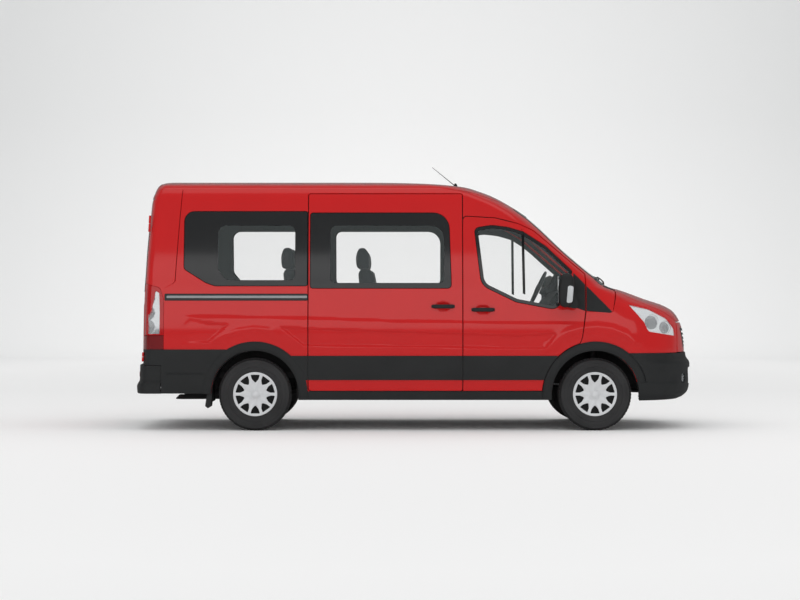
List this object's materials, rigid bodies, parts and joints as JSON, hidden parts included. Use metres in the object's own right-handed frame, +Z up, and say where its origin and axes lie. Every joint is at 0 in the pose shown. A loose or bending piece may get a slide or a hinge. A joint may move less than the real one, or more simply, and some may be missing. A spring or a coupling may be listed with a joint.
{
  "type": "minibus",
  "caption": "Minibus with a short bonnet, a raised roof, three side windows, a sliding side door, two rear doors and steel wheels with covers.",
  "frame": {"origin": "on the ground below the middle of the vehicle's length and width", "axes": "+X forwards along the vehicle, +Y to the vehicle's left, +Z up"},
  "size_m": [5.531, 2.474, 2.619],
  "materials": {
    "body_paint": "glossy solid red paint",
    "black_plastic": "grained, matt",
    "black_gloss": "gloss black",
    "window_glass": "lightly tinted, polished",
    "lamp_lens": "clear, polished",
    "red_lens": "translucent red",
    "amber_lens": "translucent amber",
    "reflector": "bright metallised",
    "mirror_glass": "polished",
    "tyre_rubber": "matt black",
    "wheel_cover": "silver satin paint",
    "dark_steel": "satin black coating",
    "bright_metal": "brushed",
    "cast_metal": "as cast",
    "cabin_trim": "grained, matt",
    "cabin_lining": "pale woven lining",
    "seat_fabric": "woven"
  },
  "bodies": {
    "body": {"antenna": "black_plastic", "body_side_left": "body_paint", "body_side_right": "body_paint", "dashboard": "cabin_trim", "driver_seat": "seat_fabric", "engine_block": "cast_metal", "exhaust": "dark_steel", "fender_left": "body_paint", "fender_right": "body_paint", "floor_pan": "cabin_trim", "front_bumper": "black_plastic", "front_panel": "body_paint", "front_structure": "dark_steel", "front_subframe": "dark_steel", "fuel_tank": "black_plastic", "grille": "black_plastic", "headlamp_left": "lamp_lens", "headlamp_right": "lamp_lens", "mid_glass_left": "window_glass", "passenger_seat": "seat_fabric", "quarter_glass_left": "window_glass", "quarter_glass_right": "window_glass", "rear_axle": "dark_steel", "rear_bumper": "black_plastic", "roof": "body_paint", "scuttle": "black_plastic", "seat_row_2": "seat_fabric", "seat_row_3": "seat_fabric", "sliding_door": "body_paint", "sliding_door_glass": "window_glass", "spare_wheel": "tyre_rubber", "tail_lamp_left": "red_lens", "tail_lamp_right": "red_lens", "underframe": "dark_steel", "windscreen": "window_glass"},
    "front_door_left": {"front_door_left": "body_paint", "front_door_glass_left": "window_glass", "mirror_left": "black_plastic"},
    "rear_door_left": {"rear_door_left": "body_paint", "rear_door_glass_left": "window_glass"},
    "knuckle_left": {"knuckle_left": "cast_metal"},
    "front_wheel_left": {"tyre_front_left": "tyre_rubber", "wheel_front_left": "wheel_cover"},
    "rear_wheel_left": {"tyre_rear_left": "tyre_rubber", "wheel_rear_left": "wheel_cover"},
    "front_door_right": {"front_door_right": "body_paint", "front_door_glass_right": "window_glass", "mirror_right": "black_plastic"},
    "rear_door_right": {"rear_door_right": "body_paint", "rear_door_glass_right": "window_glass"},
    "knuckle_right": {"knuckle_right": "cast_metal"},
    "front_wheel_right": {"tyre_front_right": "tyre_rubber", "wheel_front_right": "wheel_cover"},
    "rear_wheel_right": {"tyre_rear_right": "tyre_rubber", "wheel_rear_right": "wheel_cover"},
    "bonnet": {"bonnet": "body_paint"},
    "steering_wheel": {"steering_wheel": "cabin_trim"}
  },
  "joints": [
    {"name": "front_door_left_swing", "type": "hinge", "parent": "body", "child": "front_door_left", "pos_m": [1.545, 1.035, 1], "axis": [0, 0.0594, -0.9982], "range_deg": [0, 68]},
    {"name": "rear_door_left_swing", "type": "hinge", "parent": "body", "child": "rear_door_left", "pos_m": [-2.651, 0.945, 0.66], "axis": [-0.0439, 0.0529, -0.9976], "range_deg": [0, 180]},
    {"name": "steer_left", "type": "hinge", "parent": "body", "child": "knuckle_left", "pos_m": [1.7425, 0.7, 0.352], "axis": [0, 0, 1], "range_deg": [-33, 33]},
    {"name": "front_wheel_left_spin", "type": "hinge", "parent": "knuckle_left", "child": "front_wheel_left", "pos_m": [1.7425, 0.868, 0.352], "axis": [0, 1, 0], "continuous": true},
    {"name": "rear_wheel_left_spin", "type": "hinge", "parent": "body", "child": "rear_wheel_left", "pos_m": [-1.5575, 0.8795, 0.352], "axis": [0, 1, 0], "continuous": true},
    {"name": "front_door_right_swing", "type": "hinge", "parent": "body", "child": "front_door_right", "pos_m": [1.545, -1.035, 1], "axis": [0, 0.0594, 0.9982], "range_deg": [0, 68]},
    {"name": "rear_door_right_swing", "type": "hinge", "parent": "body", "child": "rear_door_right", "pos_m": [-2.651, -0.945, 0.66], "axis": [0.0439, 0.0529, 0.9976], "range_deg": [0, 180]},
    {"name": "steer_right", "type": "hinge", "parent": "body", "child": "knuckle_right", "pos_m": [1.7425, -0.7, 0.352], "axis": [0, 0, 1], "range_deg": [-33, 33]},
    {"name": "front_wheel_right_spin", "type": "hinge", "parent": "knuckle_right", "child": "front_wheel_right", "pos_m": [1.7425, -0.868, 0.352], "axis": [0, 1, 0], "continuous": true},
    {"name": "rear_wheel_right_spin", "type": "hinge", "parent": "body", "child": "rear_wheel_right", "pos_m": [-1.5575, -0.8795, 0.352], "axis": [0, 1, 0], "continuous": true},
    {"name": "bonnet_lift", "type": "hinge", "parent": "body", "child": "bonnet", "pos_m": [1.952, 0, 1.395], "axis": [0, -1, 0], "range_deg": [0, 55]},
    {"name": "steering_wheel_turn", "type": "hinge", "parent": "body", "child": "steering_wheel", "pos_m": [1.28, 0.45, 1.38], "axis": [-0.9061, 0, 0.4231], "range_deg": [-540, 540]}
  ],
  "couplings": [
    {"joint": "steer_right", "follows": "steer_left", "ratio": 1},
    {"joint": "steering_wheel_turn", "follows": "steer_left", "ratio": 16}
  ]
}
